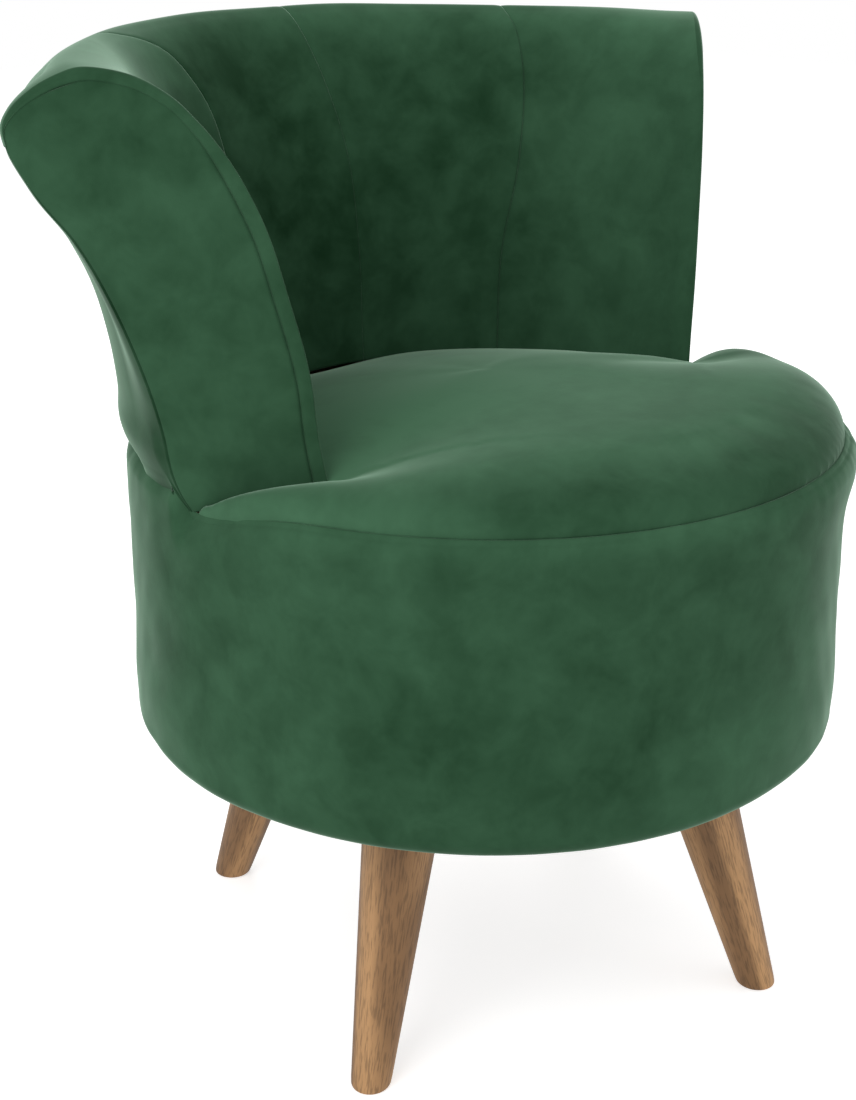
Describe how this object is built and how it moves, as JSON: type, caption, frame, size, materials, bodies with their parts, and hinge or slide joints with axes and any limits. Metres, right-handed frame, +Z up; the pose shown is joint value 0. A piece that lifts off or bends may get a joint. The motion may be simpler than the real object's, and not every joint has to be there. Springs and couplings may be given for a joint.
{
  "type": "tub chair",
  "caption": "Tub chair with a round upholstered drum seat, a flared wrap-round back ending in flat facings, and splayed tapered oak legs.",
  "frame": {"origin": "on the floor under the middle of the outline of the whole chair; the upright axis of the drum stands 34.4 mm in front of it", "axes": "+Z up, the sitter faces -Y, +X is the left hand of the sitter"},
  "size_m": [0.6986, 0.6298, 0.744],
  "materials": {
    "velvet": "short-pile cotton velvet, bottle green",
    "oak": "oiled oak, turned",
    "plywood": "sanded birch plywood",
    "hardboard": "bent hardboard",
    "foam": "cut polyurethane foam",
    "wadding": "polyester wadding",
    "spring_steel": "drawn spring wire, oiled",
    "zinc_steel": "zinc-plated steel",
    "cambric": "black non-woven dust cloth"
  },
  "bodies": {
    "root": {"leg_right_front": "oak", "leg_bolt_right_front": "zinc_steel", "tee_nut_right_front": "zinc_steel", "leg_left_front": "oak", "leg_bolt_left_front": "zinc_steel", "tee_nut_left_front": "zinc_steel", "leg_left_back": "oak", "leg_bolt_left_back": "zinc_steel", "tee_nut_left_back": "zinc_steel", "leg_right_back": "oak", "leg_bolt_right_back": "zinc_steel", "tee_nut_right_back": "zinc_steel", "base_board": "plywood", "base_top_ring": "plywood", "base_post_1": "plywood", "base_post_2": "plywood", "base_post_3": "plywood", "base_post_4": "plywood", "base_post_5": "plywood", "base_post_6": "plywood", "drum_wall": "hardboard", "drum_padding": "foam", "drum_cover": "velvet", "dust_cover": "cambric", "seat_cover": "velvet", "seat_foam": "foam", "seat_spring_1": "spring_steel", "spring_clip_front_1": "zinc_steel", "spring_clip_back_1": "zinc_steel", "seat_spring_2": "spring_steel", "spring_clip_front_2": "zinc_steel", "spring_clip_back_2": "zinc_steel", "seat_spring_3": "spring_steel", "spring_clip_front_3": "zinc_steel", "spring_clip_back_3": "zinc_steel", "seat_spring_4": "spring_steel", "spring_clip_front_4": "zinc_steel", "spring_clip_back_4": "zinc_steel", "inside_back_panel_1": "velvet", "inside_back_panel_2": "velvet", "inside_back_panel_3": "velvet", "inside_back_panel_4": "velvet", "inside_back_panel_5": "velvet", "outside_back_cover": "velvet", "back_padding": "foam", "top_roll_padding": "foam", "back_board": "hardboard", "outside_wadding": "wadding", "back_top_rail": "plywood", "back_bottom_rail": "plywood", "back_rib_1": "plywood", "back_rib_2": "plywood", "back_rib_3": "plywood", "back_rib_4": "plywood", "back_rib_5": "plywood", "arm_post_right": "plywood", "facing_panel_right": "velvet", "arm_post_left": "plywood", "facing_panel_left": "velvet"}
  },
  "joints": []
}
